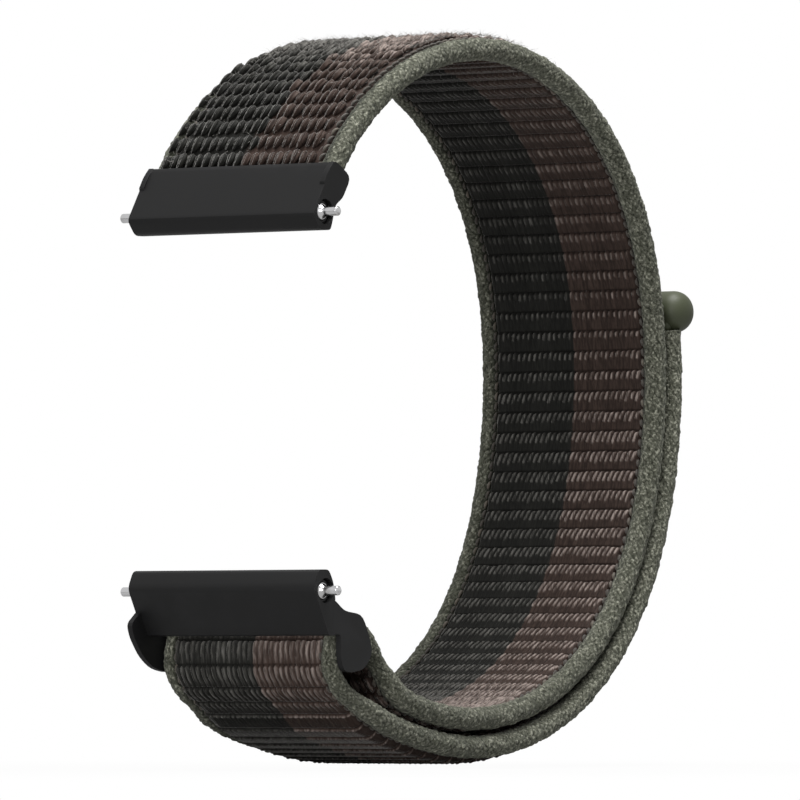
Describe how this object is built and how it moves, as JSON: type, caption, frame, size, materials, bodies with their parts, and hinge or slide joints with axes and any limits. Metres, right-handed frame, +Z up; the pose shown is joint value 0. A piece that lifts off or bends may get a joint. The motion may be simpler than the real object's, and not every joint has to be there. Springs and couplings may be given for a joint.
{
  "type": "hook and loop watch strap",
  "caption": "Woven hook and loop watch strap closed into a loop, with an adapter at each end, a slot and rail for the folded-back tail, a pull tab and quick-release spring bars.",
  "frame": {"origin": "halfway between the two spring bar axes, where the middle of the watch case sits", "axes": "+X from the watch towards the wrist side of the loop, +Y across the strap away from the viewer, +Z up from the lower spring bar to the upper one"},
  "size_m": [0.0607, 0.025, 0.0674],
  "materials": {
    "black_metal": "satin black coating",
    "bright_steel": "turned and polished",
    "web_weave": "woven nylon with looped pile",
    "edge_weave": "braided nylon piping",
    "hook_tape": "moulded hooks on tape",
    "tab_plastic": "smooth satin moulding"
  },
  "bodies": {
    "upper_adapter": {"upper_adapter": "black_metal", "hem_rod": "bright_steel", "strap_hem": "web_weave"},
    "main_strap": {"main_run_web": "web_weave", "main_run_near_edge": "edge_weave", "main_run_far_edge": "edge_weave", "rail_turn_web": "web_weave", "rail_turn_near_edge": "edge_weave", "rail_turn_far_edge": "edge_weave"},
    "tail_root": {"tail_root_web": "web_weave", "tail_root_near_edge": "edge_weave", "tail_root_far_edge": "edge_weave"},
    "tail_middle": {"tail_middle_web": "web_weave", "tail_middle_near_edge": "edge_weave", "tail_middle_far_edge": "edge_weave"},
    "tail_tip": {"tail_tip_web": "web_weave", "tail_tip_near_edge": "edge_weave", "tail_tip_far_edge": "edge_weave", "hook_pad": "hook_tape", "pull_tab": "tab_plastic"},
    "lower_adapter": {"lower_adapter": "black_metal"},
    "upper_bar": {"upper_bar_barrel": "bright_steel", "upper_bar_spring": "bright_steel"},
    "lower_bar": {"lower_bar_barrel": "bright_steel", "lower_bar_spring": "bright_steel"},
    "upper_near_plunger": {"upper_near_plunger": "bright_steel", "upper_release_lever": "bright_steel"},
    "upper_far_plunger": {"upper_far_plunger": "bright_steel"},
    "lower_near_plunger": {"lower_near_plunger": "bright_steel", "lower_release_lever": "bright_steel"},
    "lower_far_plunger": {"lower_far_plunger": "bright_steel"}
  },
  "joints": [
    {"name": "strap_flex", "type": "hinge", "parent": "upper_adapter", "child": "main_strap", "pos_m": [0.0031, 0, 0.02123], "axis": [0, 1, 0], "range_deg": [-8, 8]},
    {"name": "lower_adapter_swing", "type": "hinge", "parent": "main_strap", "child": "lower_adapter", "pos_m": [0.0057, 0, -0.0225], "axis": [0, 1, 0], "range_deg": [-15, 15]},
    {"name": "tail_root_peel", "type": "hinge", "parent": "main_strap", "child": "tail_root", "pos_m": [0.00728, 0, -0.02922], "axis": [0, 1, 0], "range_deg": [0, 45]},
    {"name": "tail_middle_peel", "type": "hinge", "parent": "tail_root", "child": "tail_middle", "pos_m": [0.03637, 0, -0.03076], "axis": [0, 1, 0], "range_deg": [0, 60]},
    {"name": "tail_tip_peel", "type": "hinge", "parent": "tail_middle", "child": "tail_tip", "pos_m": [0.0539, 0, -0.01378], "axis": [0, 1, 0], "range_deg": [0, 60]},
    {"name": "upper_bar_turn", "type": "hinge", "parent": "upper_adapter", "child": "upper_bar", "pos_m": [0, 0, 0.01705], "axis": [0, 1, 0], "range_deg": [-8, 8]},
    {"name": "lower_bar_turn", "type": "hinge", "parent": "lower_adapter", "child": "lower_bar", "pos_m": [0, 0, -0.01705], "axis": [0, 1, 0], "range_deg": [-8, 8]},
    {"name": "upper_near_pin_slide", "type": "slide", "parent": "upper_bar", "child": "upper_near_plunger", "axis": [0, 1, 0], "range_m": [0, 0.0015], "stiffness_N_per_m": 800, "springref_m": -0.001, "deforming": ["upper_bar_spring"]},
    {"name": "upper_far_pin_slide", "type": "slide", "parent": "upper_bar", "child": "upper_far_plunger", "axis": [0, -1, 0], "range_m": [0, 0.0015], "stiffness_N_per_m": 800, "springref_m": -0.001, "deforming": ["upper_bar_spring"]},
    {"name": "lower_near_pin_slide", "type": "slide", "parent": "lower_bar", "child": "lower_near_plunger", "axis": [0, 1, 0], "range_m": [0, 0.0015], "stiffness_N_per_m": 800, "springref_m": -0.001, "deforming": ["lower_bar_spring"]},
    {"name": "lower_far_pin_slide", "type": "slide", "parent": "lower_bar", "child": "lower_far_plunger", "axis": [0, -1, 0], "range_m": [0, 0.0015], "stiffness_N_per_m": 800, "springref_m": -0.001, "deforming": ["lower_bar_spring"]}
  ]
}
